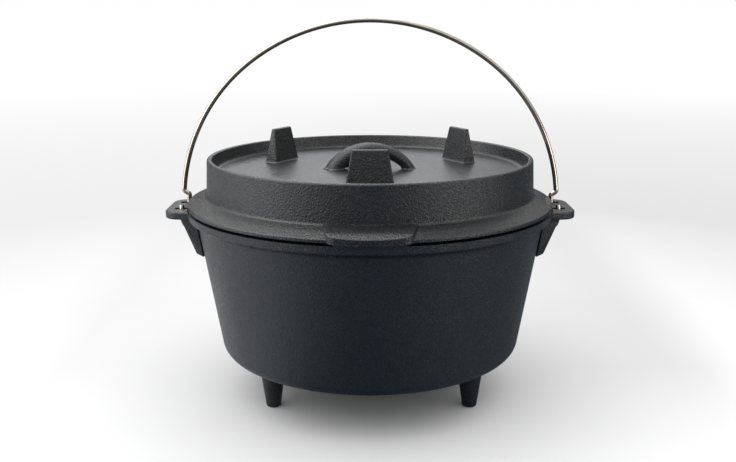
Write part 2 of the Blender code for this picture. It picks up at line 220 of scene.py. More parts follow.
bowl_section = rounded([
    (0, BASE_Z, 0),
    (wall_radius(BASE_Z), BASE_Z, 0.0120),
    *collar_corners(),
    (MOUTH_RADIUS, RIM_Z, 0.0020),
    (wall_radius(floor_z) - WALL, floor_z, 0.0140),
    (0, floor_z, 0),
])
bowl = draw_chain("pot_bowl", [(p.x, 0, p.y) for p in bowl_section])
spin_round(bowl)
tidy_mesh(bowl)

# %% [markdown]
# ## The legs
#
# The three legs are tapered pegs with rounded tips, cast in one with the base, where a small
# fillet spreads each root. A leg is round too, so it is spun about its own axis. Its fillet
# ends flat on the base and dips a hair into it, which hides the seam. One leg is modelled and
# copied to the other two places. The casting isn't quite true: all three stand a millimetre to
# the right.

# %% Spin a leg and copy it
LEG_RING = wall_radius(BASE_Z) - 0.0336
LEG_TIP_RADIUS = 0.0064
LEG_ROOT_RADIUS = 0.0124
LEG_TIP_ROUND = 0.0018
LEG_FLARE = 0.0025
LEG_SPREAD = 0.0060
LEG_DIP = 0.0012
LEGS_SET_OVER = 0.0012


def copy_turned(piece, name, angle, centre=(0, 0, 0)):
    """A copy with its own mesh, turned about an upright axis."""
    only(piece)
    bpy.ops.object.duplicate()
    copy = bpy.context.object
    copy.name = copy.data.name = name
    edit(copy)
    bpy.ops.transform.rotate(value=angle, orient_axis="Z", center_override=centre)
    bpy.ops.object.mode_set(mode="OBJECT")
    return copy


leg_section = rounded([
    (0, 0, 0),
    (LEG_TIP_RADIUS, 0, LEG_TIP_ROUND),
    (LEG_ROOT_RADIUS, BASE_Z, LEG_FLARE),
    (LEG_ROOT_RADIUS + LEG_SPREAD, BASE_Z + 0.0001, 0),
    (LEG_ROOT_RADIUS + LEG_SPREAD, BASE_Z + LEG_DIP, 0),
    (0, BASE_Z + LEG_DIP, 0),
])
legs_middle = (LEGS_SET_OVER, 0, 0)
leg_place = (LEGS_SET_OVER, LEG_RING, 0)
leg_back = draw_chain("leg_back", [(LEGS_SET_OVER + p.x, LEG_RING, p.y) for p in leg_section])
spin_round(leg_back, steps=64, centre=leg_place)
tidy_mesh(leg_back)
leg_left = copy_turned(leg_back, "leg_left", math.radians(120), legs_middle)
leg_right = copy_turned(leg_back, "leg_right", math.radians(240), legs_middle)

# %% [markdown]
# ## The ears
#
# An ear is a flat plate on the collar, carried by two gussets that run down the wall, with two
# slots that the bail's hook passes through. In a casting all of these flow into each other.
# Fillets between so many curved faces are hard to bevel, so the parts are only laid into each
# other here, together with a strip of the wall a tenth of a millimetre under the real one.
# A voxel remesh then melts them into one skin, and a few rounds of smoothing turn each inside
# corner into a fillet, much as sand does. The gussets have draft: from the wall outwards they
# are drawn in to about a third of their thickness.

# %% Model the plate, its slots and the gussets
EAR_TOP_Z = RIM_Z - 0.0038
EAR_THICKNESS = 0.0070
AXIS_Z = EAR_TOP_Z - EAR_THICKNESS / 2
BRIDGE_WIDTH = 0.0206
WIRE = 0.0046
HOOK_RADIUS = math.hypot(BRIDGE_WIDTH / 2, EAR_THICKNESS / 2) + 0.0012 + WIRE / 2
SLOT_END = HOOK_RADIUS + WIRE / 2 + 0.0008
SLOT_INNER_X = COLLAR_RADIUS + 0.0005
SLOT_OUTER_X = SLOT_INNER_X + 0.0108
SLOT_CORNER = 0.0015
EAR_OUTER_X = SLOT_OUTER_X + 0.0077
EAR_PAST_SLOT = 0.0110
EAR_FLARE = 0.0050
EAR_CORNER = 0.0140
EAR_ROUND = 0.0018
RIB_INNER_Y = SLOT_END + 0.0025
RIB_THICKNESS = 0.0092
RIB_HEIGHT = 0.0322
RIB_REACH = 0.0126
RIB_FOOT = 0.0048
RIB_TOP_RUN = 0.0036
RIB_TAPER = 0.36
RIB_TAPER_FROM = 0.0010
RIB_ROUND = 0.0008
OVERLAP = 0.0020
CUT_MARGIN = 0.002


def cut_plate(name, outline, shift):
    """Fill a closed outline of points and extrude it by a shift, with its faces outwards."""
    piece = draw_chain(name, outline)
    bpy.ops.mesh.select_all(action="SELECT")
    bpy.ops.mesh.edge_face_add()
    bpy.ops.mesh.extrude_region_move(TRANSFORM_OT_translate={"value": shift})
    bpy.ops.mesh.select_all(action="SELECT")
    bpy.ops.mesh.normals_make_consistent(inside=False)
    return piece


def round_edges(width, segments=4, sharp=40):
    """Bevel every edge of the piece in edit mode that is sharper than an angle in degrees."""
    bpy.ops.mesh.select_all(action="DESELECT")
    bpy.ops.mesh.edges_select_sharp(sharpness=math.radians(sharp))
    bpy.ops.mesh.bevel(offset=width, segments=segments, affect="EDGES", clamp_overlap=True)


tip_half = SLOT_END + EAR_PAST_SLOT
root_half = tip_half + EAR_FLARE
root_x = MOUTH_RADIUS + OVERLAP
plate_outline = rounded([
    (root_x, 0, 0),
    (root_x, -root_half, 0),
    (EAR_OUTER_X, -tip_half, EAR_CORNER),
    (EAR_OUTER_X, tip_half, EAR_CORNER),
    (root_x, root_half, 0),
    (root_x, 0, 0),
])[1:-1]
ear = cut_plate("ear_right", [(p.x, p.y, EAR_TOP_Z) for p in plate_outline],
                (0, 0, -EAR_THICKNESS))
round_edges(EAR_ROUND)

under_z = EAR_TOP_Z - EAR_THICKNESS
foot_z = under_z - RIB_HEIGHT
low_z = foot_z - 0.0026
reach = wall_radius(under_z) + RIB_REACH
rib_outline = rounded([
    (wall_radius(AXIS_Z) - OVERLAP, AXIS_Z, 0),
    (wall_radius(low_z) - OVERLAP, low_z, 0),
    (wall_radius(foot_z) + RIB_FOOT, foot_z, 0.0015),
    (reach, under_z, 0.0045),
    (reach + RIB_TOP_RUN, under_z + 0.0004, 0),
    (reach + RIB_TOP_RUN, AXIS_Z, 0),
])
ribs = []
for number, low in enumerate((RIB_INNER_Y, -RIB_INNER_Y - RIB_THICKNESS)):
    rib = cut_plate(f"rib_{number}", [(p.x, low, p.y) for p in rib_outline],
                    (0, RIB_THICKNESS, 0))
    bpy.ops.mesh.select_all(action="DESELECT")
    bpy.ops.object.mode_set(mode="OBJECT")
    for vert in rib.data.vertices:
        vert.select = vert.co.x > wall_radius(vert.co.z) + RIB_TAPER_FROM
    bpy.ops.object.mode_set(mode="EDIT")
    bpy.ops.transform.resize(value=(1, RIB_TAPER, 1),
                             center_override=(0, low + RIB_THICKNESS / 2, 0))
    round_edges(RIB_ROUND, segments=3)
    ribs.append(rib)

slot_middle = (SLOT_INNER_X + SLOT_OUTER_X) / 2
cutters = []
for number, end in enumerate((-1, 1)):
    low_y, high_y = sorted((end * BRIDGE_WIDTH / 2, end * SLOT_END))
    slot_outline = rounded([
        (slot_middle, low_y, 0),
        (SLOT_OUTER_X, low_y, SLOT_CORNER),
        (SLOT_OUTER_X, high_y, SLOT_CORNER),
        (SLOT_INNER_X, high_y, SLOT_CORNER),
        (SLOT_INNER_X, low_y, SLOT_CORNER),
        (slot_middle, low_y, 0),
    ])[1:-1]
    slot_top = [(p.x, p.y, EAR_TOP_Z + CUT_MARGIN) for p in slot_outline]
    cutters.append(cut_plate(f"slot_{number}", slot_top,
                             (0, 0, -EAR_THICKNESS - 2 * CUT_MARGIN)))
only()
print("slots from y", round(BRIDGE_WIDTH / 2, 4), "to", round(SLOT_END, 4))

# %% [markdown]
# The strip of wall behind the ear is spun through a few of the same steps as the bowl, so that
# its facets lie parallel to the bowl's. The slots are cut last, after the parts are one skin,
# because a remesh would eat their crisp edges.

# %% Melt the ear's parts into one casting
HAIR = 0.00012
STRIP_LOW_Z = 0.1180


def strip_behind(name, section, steps, middle):
    """A closed bar with a drawn section, spun a few steps to both sides of a middle angle."""
    piece = draw_chain(name, [(p[0], 0, p[1]) for p in section])
    bpy.ops.mesh.select_all(action="SELECT")
    bpy.ops.mesh.edge_face_add()
    bpy.ops.object.mode_set(mode="OBJECT")
    piece.data.transform(Matrix.Rotation(middle - steps / 2 * ROUND_STEP, 4, "Z"))
    edit(piece)
    spin_round(piece, steps=steps, angle=ROUND_STEP * steps)
    bpy.ops.mesh.select_all(action="SELECT")
    bpy.ops.mesh.remove_doubles(threshold=1e-6)
    bpy.ops.mesh.normals_make_consistent(inside=False)
    bpy.ops.object.mode_set(mode="OBJECT")
    return piece


def melt(parts, voxel, rounds):
    """Join overlapping closed parts and remesh them into one skin, smoothed a few rounds."""
    only(*parts)
    bpy.ops.object.join()
    piece = bpy.context.object
    apply_modifier(piece, "REMESH", mode="VOXEL", voxel_size=voxel)
    apply_modifier(piece, "SMOOTH", factor=0.5, iterations=rounds)
    return piece


wall_section = rounded([
    (wall_radius(STRIP_LOW_Z) - 0.0030, STRIP_LOW_Z, 0),
    (wall_radius(STRIP_LOW_Z) - HAIR, STRIP_LOW_Z, 0),
    *collar_corners(HAIR),
    (MOUTH_RADIUS + 0.0025, RIM_Z - HAIR, 0),
])
behind_ear = strip_behind("behind_ear", wall_section, steps=20, middle=0)
ear = melt([ear, *ribs, behind_ear], voxel=0.00055, rounds=6)
for cutter in cutters:
    only(cutter)
    bpy.context.view_layer.objects.active = ear
    apply_modifier(ear, "BOOLEAN", object=cutter, operation="DIFFERENCE", solver="EXACT")
    bpy.data.objects.remove(cutter, do_unlink=True)
ear.name = ear.data.name = "ear_right"
tidy_mesh(ear, sharp=50)

# %% [markdown]
# The left ear is the same casting pattern turned over, so the finished one is copied, mirrored
# by a scale of minus one, and has its faces turned outwards again.

# %% Mirror the ear to the left
only(ear)
bpy.ops.object.duplicate()
ear_left = bpy.context.object
ear_left.name = ear_left.data.name = "ear_left"
edit(ear_left)
bpy.ops.transform.resize(value=(-1, 1, 1), center_override=(0, 0, 0))
tidy_mesh(ear_left, sharp=50)

# %% [markdown]
# ## The lid
#
# The lid is turned in the same way. Seen from below it is a shallow pan, because campers turn
# it over and fry on it. From above it has a flat tray for coals, a tall rim that holds them,
# and a sloping, slightly domed flange that rests on the pot's collar. A low lip under the
# flange keeps the lid from sliding sideways.

# %% Spin the lid
SEAT_Z = RIM_Z + 0.0003
LID_TOP_Z = SEAT_Z + 0.0423
TRAY_Z = LID_TOP_Z - 0.0121
PLATE_UNDERSIDE_Z = TRAY_Z - 0.0047
FLANGE_RADIUS = COLLAR_RADIUS - 0.0007
FLANGE_EDGE = 0.0032
FLANGE_RISE = 0.0102
FLANGE_DOME = 0.0005
FLANGE_EDGE_ROUND = 0.0013
FLANGE_DOME_ROUND = 0.0300
LID_WALL_FILLET = 0.0026
LID_WALL_RADIUS = FLANGE_RADIUS - 0.0168
LID_RIM_RADIUS = LID_WALL_RADIUS - 0.0014
LID_RIM_WIDTH = 0.0042
LIP_DROP = 0.0030
LIP_ROUND = 0.0008


def flange_corners(hair=0.0):
    """The flange's domed top from its edge to the wall, as corners; hair lays it lower."""
    middle = (FLANGE_RADIUS + LID_WALL_RADIUS) / 2
    middle_z = SEAT_Z + (FLANGE_EDGE + FLANGE_RISE) / 2 + FLANGE_DOME
    return [
        (FLANGE_RADIUS - hair, SEAT_Z + FLANGE_EDGE - hair, FLANGE_EDGE_ROUND),
        (middle - hair, middle_z - hair, FLANGE_DOME_ROUND),
        (LID_WALL_RADIUS - hair, SEAT_Z + FLANGE_RISE - hair, LID_WALL_FILLET),
    ]


lip_radius = MOUTH_RADIUS - 0.0020
pan_radius = LID_RIM_RADIUS - 0.0043
tray_radius = LID_RIM_RADIUS - LID_RIM_WIDTH - 0.0030
lid_section = rounded([
    (0, PLATE_UNDERSIDE_Z, 0),
    (pan_radius, PLATE_UNDERSIDE_Z, 0.0080),
    (pan_radius + 0.0024, SEAT_Z - LIP_DROP, LIP_ROUND),
    (lip_radius - 0.00375, SEAT_Z - LIP_DROP, LIP_ROUND),
    (lip_radius, SEAT_Z, 0),
    (FLANGE_RADIUS, SEAT_Z, 0.0009),
    *flange_corners(),
    (LID_RIM_RADIUS, LID_TOP_Z, 0.0018),
    (LID_RIM_RADIUS - LID_RIM_WIDTH, LID_TOP_Z, 0.0015),
    (tray_radius, TRAY_Z, 0.0036),
    (0, TRAY_Z, 0),
])
lid = draw_chain("lid_shell", [(p.x, 0, p.y) for p in lid_section])
spin_round(lid)
tidy_mesh(lid)

# %% [markdown]
# ## The lifting tab
#
# In front the flange swells into a tab, for the hook that lifts the hot lid. Its top rises to
# the lid's wall from a rolled front edge, thicker than the flange's, and beyond the collar its
# underside steps down to a small lip. Its sides sweep back into the flange in a soft S.
# The tab is cut from plate, trimmed to its curved outline and melted onto a strip of the
# flange, as the ears were onto the wall.

# %% Model the tab
TAB_RADIUS = FLANGE_RADIUS + 0.0038
TAB_EDGE = 0.0044
TAB_RISE = 0.0071
TAB_LIP = 0.0012
TAB_ROLL_RUN = 0.0060
TAB_ROLL_RISE = 0.0034
TAB_ROLL_ROUND = 0.0160
TAB_SHOULDER_ROUND = 0.0070
TAB_ROOT_WIDTH = 0.0740
TAB_SHOULDER_WIDTH = 0.0644
TAB_TIP_WIDTH = 0.0540

tab_root = LID_WALL_RADIUS - OVERLAP
lip_start = COLLAR_RADIUS + 0.0008
tab_side = rounded([
    (-tab_root, SEAT_Z, 0),
    (-lip_start, SEAT_Z, 0),
    (-lip_start, SEAT_Z - TAB_LIP, 0),
    (-TAB_RADIUS, SEAT_Z - TAB_LIP, 0),
    (-TAB_RADIUS, SEAT_Z + TAB_EDGE, 0),
    (-TAB_RADIUS + TAB_ROLL_RUN, SEAT_Z + TAB_EDGE + TAB_ROLL_RISE, TAB_ROLL_ROUND),
    (-tab_root, SEAT_Z + TAB_EDGE + TAB_RISE, 0),
])
tab = cut_plate("lid_tab", [(-TAB_ROOT_WIDTH / 2, p.x, p.y) for p in tab_side],
                (TAB_ROOT_WIDTH, 0, 0))
tab_tip = math.asin(TAB_TIP_WIDTH / 2 / TAB_RADIUS)
tab_front = [(TAB_RADIUS * math.sin(a), -TAB_RADIUS * math.cos(a), 0)
             for a in (tab_tip * (i / 12 - 1) for i in range(25))]
shoulder_y = tab_front[0][1] + (TAB_SHOULDER_WIDTH - TAB_TIP_WIDTH) / 4
root_y = -tab_root + CUT_MARGIN
tab_outline = rounded([
    (0, root_y, 0),
    (-TAB_ROOT_WIDTH / 2, root_y, 0),
    (-TAB_SHOULDER_WIDTH / 2, shoulder_y, TAB_SHOULDER_ROUND),
    *tab_front,
    (TAB_SHOULDER_WIDTH / 2, shoulder_y, TAB_SHOULDER_ROUND),
    (TAB_ROOT_WIDTH / 2, root_y, 0),
    (0, root_y, 0),
])[1:-1]
tab_plan = cut_plate("tab_plan", [(p.x, p.y, SEAT_Z - CUT_MARGIN) for p in tab_outline],
                     (0, 0, 0.040))
only(tab)
apply_modifier(tab, "BOOLEAN", object=tab_plan, operation="INTERSECT", solver="EXACT")
bpy.data.objects.remove(tab_plan, do_unlink=True)
edit(tab)
round_edges(0.0010, segments=3, sharp=50)
strip_inner = LID_WALL_RADIUS - 0.0035
strip_low_z, strip_high_z = SEAT_Z + 0.0010, SEAT_Z + 0.0220
flange_section = rounded([
    (strip_inner, strip_low_z, 0),
    (FLANGE_RADIUS - HAIR, strip_low_z, 0),
    *flange_corners(HAIR),
    (LID_WALL_RADIUS - HAIR - 0.0006, strip_high_z, 0),
    (strip_inner, strip_high_z, 0),
])
behind_tab = strip_behind("behind_tab", flange_section, steps=18, middle=-math.pi / 2)
tab = melt([tab, behind_tab], voxel=0.00045, rounds=5)
tab.name = tab.data.name = "lid_tab"
tidy_mesh(tab, sharp=60)

# %% [markdown]
# ## The feet on the lid
#
# Three wedge-shaped feet stand in the tray. Turned over, the lid stands on them as a griddle.
# A cube is added at a foot's size, its top is drawn in and its corners are bevelled. Then the
# open bottom is extruded down and outwards in small steps along a quarter circle, which is the
# fillet that spreads every foot on the tray. The two rear feet are copies, a little narrower.

# %% Model a foot and copy it
FOOT_RING = LID_RIM_RADIUS - 0.0485
FEET_MIDDLE = (0, -0.0026, 0)
FOOT_Y = FEET_MIDDLE[1] - FOOT_RING
FOOT_HEIGHT = 0.0316
FOOT_TOP = (0.0291, 0.0040)
FOOT_BASE = (0.0411, 0.0137)
FOOT_BASE_DEPTH = 0.002
FOOT_FILLET = 0.0022
FOOT_ROUND = 0.0013
REAR_FEET_WIDTH = 0.915


def select_level(piece, z, side=0, reach=2e-5):
    """Select the vertices at one height, on one side of the middle if a side is given."""
    bpy.ops.mesh.select_all(action="DESELECT")
    bpy.ops.object.mode_set(mode="OBJECT")
    for vert in piece.data.vertices:
        vert.select = abs(vert.co.z - z) < reach and side * vert.co.x >= 0
    bpy.ops.object.mode_set(mode="EDIT")
    bpy.ops.mesh.select_mode(type="EDGE")
    bpy.ops.mesh.select_mode(type="VERT")


def spread_foot(centre, half, fillet, lean=0.0, steps=6):
    """Extrude the selected open ring down to the plate, widening it along a quarter circle."""
    centre = Vector(centre)
    drop = spread = 0.0
    for number in range(1, steps + 1):
        angle = math.pi / 2 * number / steps
        fall = fillet * math.sin(angle) - drop
        wider = fillet * (1 - math.cos(angle))
        bpy.ops.mesh.extrude_region_move(
            TRANSFORM_OT_translate={"value": (lean * fall, 0, -fall)})
        centre += Vector((lean * fall, 0, -fall))
        bpy.ops.transform.resize(value=((half[0] + wider) / (half[0] + spread),
                                        (half[1] + wider) / (half[1] + spread), 1),
                                 center_override=centre)
        drop += fall
        spread = wider
    bpy.ops.mesh.edge_face_add()


share = (FOOT_FILLET + FOOT_BASE_DEPTH) / (FOOT_HEIGHT + FOOT_BASE_DEPTH)
low_width, low_depth = (base + (top - base) * share for base, top in zip(FOOT_BASE, FOOT_TOP))
low_foot_z = TRAY_Z + FOOT_FILLET
middle_z = (low_foot_z + TRAY_Z + FOOT_HEIGHT) / 2
only()
bpy.ops.mesh.primitive_cube_add(size=1, location=(0, FOOT_Y, middle_z),
                                scale=(low_width, low_depth, FOOT_HEIGHT - FOOT_FILLET))
foot_front = bpy.context.object
foot_front.name = foot_front.data.name = "foot_front"
bpy.ops.object.transform_apply(location=True, rotation=False, scale=True)
edit(foot_front)
select_level(foot_front, TRAY_Z + FOOT_HEIGHT)
bpy.ops.transform.resize(value=(FOOT_TOP[0] / low_width, FOOT_TOP[1] / low_depth, 1),
                         center_override=(0, FOOT_Y, TRAY_Z + FOOT_HEIGHT))
select_level(foot_front, low_foot_z)
bpy.ops.mesh.delete(type="ONLY_FACE")
bpy.ops.mesh.select_all(action="DESELECT")
bpy.ops.object.mode_set(mode="OBJECT")
for line in foot_front.data.edges:
    line.select = any(foot_front.data.vertices[i].co.z > middle_z for i in line.vertices)
bpy.ops.object.mode_set(mode="EDIT")
bpy.ops.mesh.bevel(offset=FOOT_ROUND, segments=4, affect="EDGES")
select_level(foot_front, low_foot_z)
spread_foot((0, FOOT_Y, low_foot_z), (low_width / 2, low_depth / 2), FOOT_FILLET)
tidy_mesh(foot_front)
foot_back_left = copy_turned(foot_front, "foot_back_left", 0)
edit(foot_back_left)
bpy.ops.transform.resize(value=(REAR_FEET_WIDTH, 1, 1), center_override=(0, FOOT_Y, 0))
bpy.ops.transform.rotate(value=math.radians(120), orient_axis="Z", center_override=FEET_MIDDLE)
bpy.ops.object.mode_set(mode="OBJECT")
foot_back_right = copy_turned(foot_back_left, "foot_back_right", math.radians(120), FEET_MIDDLE)

# %% [markdown]
# ## The loop handle
#
# A round rod, cast in an arch, lifts the lid. It is stouter at its left end, where the iron was
# poured in. Its middle line is drawn as a chain and turned into a curve, which gets its round
# section as a bevel, and every point of it gets its own thickness. The outer edge of the arch
# stays a true circle, so the middle line moves inwards as the rod grows.

# %% Draw the arch and give it its thickness
HALF_SPAN = 0.0824 / 2
HANDLE_RISE = 0.0241
ROD_RIGHT = 0.0090
ROD_LEFT = 0.0178
HANDLE_Y = -0.0030
HANDLE_FILLET = 0.0018
ARCH_START = 4
ARCH_SWEEP = 172
ARCH_STEPS = 64

arch_outer = (HALF_SPAN ** 2 + HANDLE_RISE ** 2) / (2 * HANDLE_RISE)
arch_z = TRAY_Z + HANDLE_RISE - arch_outer
arch_root = math.asin((arch_outer - HANDLE_RISE) / arch_outer)


def rod_radius(turn):
    """The rod's radius at a turn about the arch's centre, from the right foot to the left."""
    share = (turn - arch_root) / (math.pi - 2 * arch_root)
    return (ROD_RIGHT + (ROD_LEFT - ROD_RIGHT) * share) / 2


def on_arch(turn, depth):
    """A point of the arch at a turn about its centre and a depth inside its outer edge."""
    reach = arch_outer - depth
    return reach * math.cos(turn), HANDLE_Y, arch_z + reach * math.sin(turn)


def bent_rod(name, points, radii, sides=8):
    """A closed round rod along a chain of points, with a radius at every point."""
    only(draw_chain(name, points))
    bpy.ops.object.convert(target="CURVE")
    rod = bpy.context.object
    line = rod.data.splines[0].points
    first = Vector(points[0])
    if (line[0].co.xyz - first).length > (line[-1].co.xyz - first).length:
        radii = radii[::-1]
    for point, radius in zip(line, radii):
        point.radius = radius / radii[0]
    rod.data.bevel_depth = radii[0]
    rod.data.bevel_resolution = sides
    rod.data.use_fill_caps = True
    bpy.ops.object.convert(target="MESH")
    rod = bpy.context.object
    rod.name = rod.data.name = name
    edit(rod)
    bpy.ops.mesh.remove_doubles(threshold=1e-6)
    bpy.ops.mesh.normals_make_consistent(inside=False)
    return rod


turns = [math.radians(ARCH_START + ARCH_SWEEP * i / ARCH_STEPS) for i in range(ARCH_STEPS + 1)]
handle = bent_rod("lid_handle", [on_arch(t, rod_radius(t)) for t in turns],
                  [rod_radius(t) for t in turns])
print("rod", round(2000 * rod_radius(arch_root), 1), "mm thick at the right foot and",
      round(2000 * rod_radius(math.pi - arch_root), 1), "at the left")

# %% [markdown]
# The arch was drawn past the tray. What is below the fillet is cut off level with a bisect,
# and both open ends are spread onto the tray like the feet, along the lean of the rod there.

# %% Cut the ends level and spread them onto the tray
cut_z = TRAY_Z + HANDLE_FILLET
bpy.ops.mesh.select_all(action="SELECT")
bpy.ops.mesh.bisect(plane_co=(0, 0, cut_z), plane_no=(0, 0, 1), clear_inner=True)
for side in (-1, 1):
    select_level(handle, cut_z, side=side)
    bpy.ops.object.mode_set(mode="OBJECT")
    ring = [vert.co for vert in handle.data.vertices if vert.select]
    xs = [co.x for co in ring]
    ys = [co.y for co in ring]
    middle = ((max(xs) + min(xs)) / 2, (max(ys) + min(ys)) / 2, cut_z)
    slope = (cut_z - arch_z) / abs(middle[0])
    bpy.ops.object.mode_set(mode="EDIT")
    spread_foot(middle, ((max(xs) - min(xs)) / 2, (max(ys) - min(ys)) / 2),
                HANDLE_FILLET, lean=side * slope)
tidy_mesh(handle)

# %% [markdown]
# The two halves of the mould met along the rod's outside and left a fine raised seam there. A
# bead of flash hangs under the arch on the right, where a drop of iron ran between them.

# %% Add the seam and the bead
SEAM_RADIUS = 0.00042
SEAM_DEPTH = 0.0002
SEAM_LOW = 0.0012
BEAD_TURN = math.radians(63)
BEAD_RADIUS = 0.0011
BEAD_FORWARD = 0.001

seam = bent_rod("seam", [on_arch(t, SEAM_DEPTH) for t in turns],
                [SEAM_RADIUS] * len(turns), sides=2)
bpy.ops.mesh.select_all(action="SELECT")
bpy.ops.mesh.bisect(plane_co=(0, 0, TRAY_Z + SEAM_LOW), plane_no=(0, 0, 1),
                    clear_inner=True, use_fill=True)
tidy_mesh(seam)
bead_x, bead_y, bead_z = on_arch(BEAD_TURN, 2 * rod_radius(BEAD_TURN))
only()
bpy.ops.mesh.primitive_uv_sphere_add(segments=20, ring_count=12, radius=BEAD_RADIUS,
                                     location=(bead_x, bead_y - BEAD_FORWARD, bead_z))
bead = bpy.context.object
bead.name = "bead"
edit(bead)
bpy.ops.transform.resize(value=(1.25, 0.9, 1.0))
bpy.ops.object.mode_set(mode="OBJECT")
only(bead)
bpy.ops.object.transform_apply(location=True, rotation=True, scale=True)
tidy_mesh(bead)
only(handle, seam, bead)
bpy.ops.object.join()
print("handle rises", round(1000 * (arch_outer + arch_z - TRAY_Z), 1), "mm above the tray")

# %% [markdown]
# ## The bail
#
# The bail is one steel wire, bent cold: a hook through each ear, a short straight leg, a jog
# that brings it outside the lid, and a wide arch with a flatter top. Its centre line is drawn
# as a chain of edges and given the wire's round section like the handle's. The bail leans back
# until its legs rest on the ends of the slots, and the jog sits a little higher on the left.

# %% Bend the wire
BAIL_LEG_X = SLOT_INNER_X + 0.0010 + WIRE / 2
JOG = 0.0050
JOG_LOW = {-1: 0.0132, 1: 0.0121}
JOG_RISE = 0.0030
JOG_BEND = 0.0028
JOG_RUN_IN = 0.0040
JOG_RUN_OUT = 0.0030
HOOK_SWEEP = math.radians(199)
HOOK_OFFSET = 0.0014
HOOK_STEPS = 36
SIDE_STEPS = 40
TOP_STEPS = 24
REST_GAP = 0.0003
BAIL_HEIGHT = 0.1716
TOP_RADIUS = 0.1812
TOP_ANGLE = math.radians(37.3)

slot_corner = Vector((SLOT_END, EAR_THICKNESS / 2))
lean = (math.acos((HOOK_RADIUS + WIRE / 2 + REST_GAP) / slot_corner.length)
        - math.atan2(slot_corner.y, slot_corner.x))


def half_wire(side):
    """Centre line of one half, from the hook's tip to just short of the top."""
    wide = BAIL_LEG_X + JOG
    sine = math.sin(TOP_ANGLE)
    side_radius = (wide - TOP_RADIUS * sine) / (1 - sine)
    top_centre = BAIL_HEIGHT - TOP_RADIUS
    centre_x = sine * (TOP_RADIUS - side_radius)
    centre_z = math.cos(TOP_ANGLE) * (TOP_RADIUS - side_radius) + top_centre
    points = []
    for i in range(HOOK_STEPS):
        rest = 1 - i / HOOK_STEPS
        points.append((BAIL_LEG_X + HOOK_OFFSET * rest,
                       HOOK_RADIUS * math.cos(HOOK_SWEEP * rest),
                       -HOOK_RADIUS * math.sin(HOOK_SWEEP * rest)))
    points.append((BAIL_LEG_X, HOOK_RADIUS, 0))
    jog_low = JOG_LOW[side]
    jog_high = jog_low + JOG_RISE
    corner = math.acos((jog_high - centre_z) / side_radius)
    start = math.acos((jog_high + JOG_RUN_OUT - centre_z) / side_radius)
    jog = rounded([
        (BAIL_LEG_X, jog_low - JOG_RUN_IN, 0),
        (BAIL_LEG_X, jog_low, JOG_BEND),
        (centre_x + side_radius * math.sin(corner), jog_high, JOG_BEND),
        (centre_x + side_radius * math.sin(start), jog_high + JOG_RUN_OUT, 0),
    ])
    points += [(p.x, HOOK_RADIUS, p.y) for p in jog[:-1]]
    for i in range(SIDE_STEPS):
        angle = start + (TOP_ANGLE - start) * i / SIDE_STEPS
        points.append((centre_x + side_radius * math.sin(angle), HOOK_RADIUS,
                       centre_z + side_radius * math.cos(angle)))
    for i in range(TOP_STEPS):
        angle = TOP_ANGLE * (1 - i / TOP_STEPS)
        points.append((TOP_RADIUS * math.sin(angle), HOOK_RADIUS,
                       top_centre + TOP_RADIUS * math.cos(angle)))
    return [Vector((side * x, y, z)) for x, y, z in points]


hang = Matrix.Translation((0, 0, AXIS_Z)) @ Matrix.Rotation(-lean, 4, "X")
wire_line = half_wire(-1) + [Vector((0, HOOK_RADIUS, BAIL_HEIGHT))] + half_wire(1)[::-1]
bail = bent_rod("bail_wire", [hang @ point for point in wire_line],
                [WIRE / 2] * len(wire_line), sides=10)
round_edges(0.0005, segments=3, sharp=60)
tidy_mesh(bail)
print("the bail leans back", round(math.degrees(lean), 2), "degrees")

# %% [markdown]
# ## Seasoned cast iron
#
# The oven is sand-cast iron with baked-on oil. The sand leaves a pebbled skin, coarse on the
# lid's wall and its feet and finer on the bowl, and the oil makes it black with a soft sheen.
# All of it is one recipe. A noise about a millimetre across raises the pebbles, a finer one
# the specks on them, and a broad one the slight waves of a hand-rammed mould. The specks also
# vary the blue-black tone, and all three vary the sheen. The lid's tray and flange are calmer
# than its wall, which a mask by height and radius does. A few light scuffs are spots at fixed
# places. So are a few pits, painted black and rough as painted shade, with no hollow modelled.

# %% Mix the iron
BROAD_WAVES = 34
SPECK_WAVES = 1100
WAVE_HEIGHT = 0.0008
SPECK_HEIGHT = 0.00024
SPOT_CORE = 0.6
SCUFF_TONE = (0.085, 0.080, 0.070)
# Painted shade: the black of the pits stands in for the shade inside a hollow.
PIT_PAINTED_SHADE = (0.0, 0.0, 0.0)


def node(tree, kind, **settings):
    """Add a node and set its properties, or its inputs where a setting names one."""
    made = tree.nodes.new(kind)
    for name, value in settings.items():
        if name in made.inputs:
            made.inputs[name].default_value = value
        else:
            setattr(made, name, value)
    return made


def noise(tree, place, scale, detail, rough=0.5):
    """A noise texture at a number of waves per metre."""
    made = node(tree, "ShaderNodeTexNoise", Scale=scale, Detail=detail, Roughness=rough)
    tree.links.new(place, made.inputs["Vector"])
    return made.outputs["Fac"]


def spread(tree, value, low, high, to_low, to_high):
    """Stretch a value from one range to another and hold it at the ends."""
    made = node(tree, "ShaderNodeMapRange", clamp=True)
    for name, number in zip(("From Min", "From Max", "To Min", "To Max"),
                            (low, high, to_low, to_high)):
        made.inputs[name].default_value = number
    tree.links.new(value, made.inputs["Value"])
    return made.outputs["Result"]


def raise_bump(tree, height, distance, strength, below=None):
    """A bump of a height in metres, laid over another one."""
    made = node(tree, "ShaderNodeBump", Distance=distance)
    if isinstance(strength, float):
        made.inputs["Strength"].default_value = strength
    else:
        tree.links.new(strength, made.inputs["Strength"])
    tree.links.new(height, made.inputs["Height"])
    if below:
        tree.links.new(below, made.inputs["Normal"])
    return made.outputs["Normal"]


def mix_colours(tree, share, first, second):
    """A colour between two, by a share; each is a plain colour or what a node gives."""
    made = node(tree, "ShaderNodeMix", data_type="RGBA")
    tree.links.new(share, made.inputs[0])
    for socket, colour in zip(made.inputs[6:8], (first, second)):
        if isinstance(colour, tuple):
            socket.default_value = (*colour, 1)
        else:
            tree.links.new(colour, socket)
    return made.outputs[2]


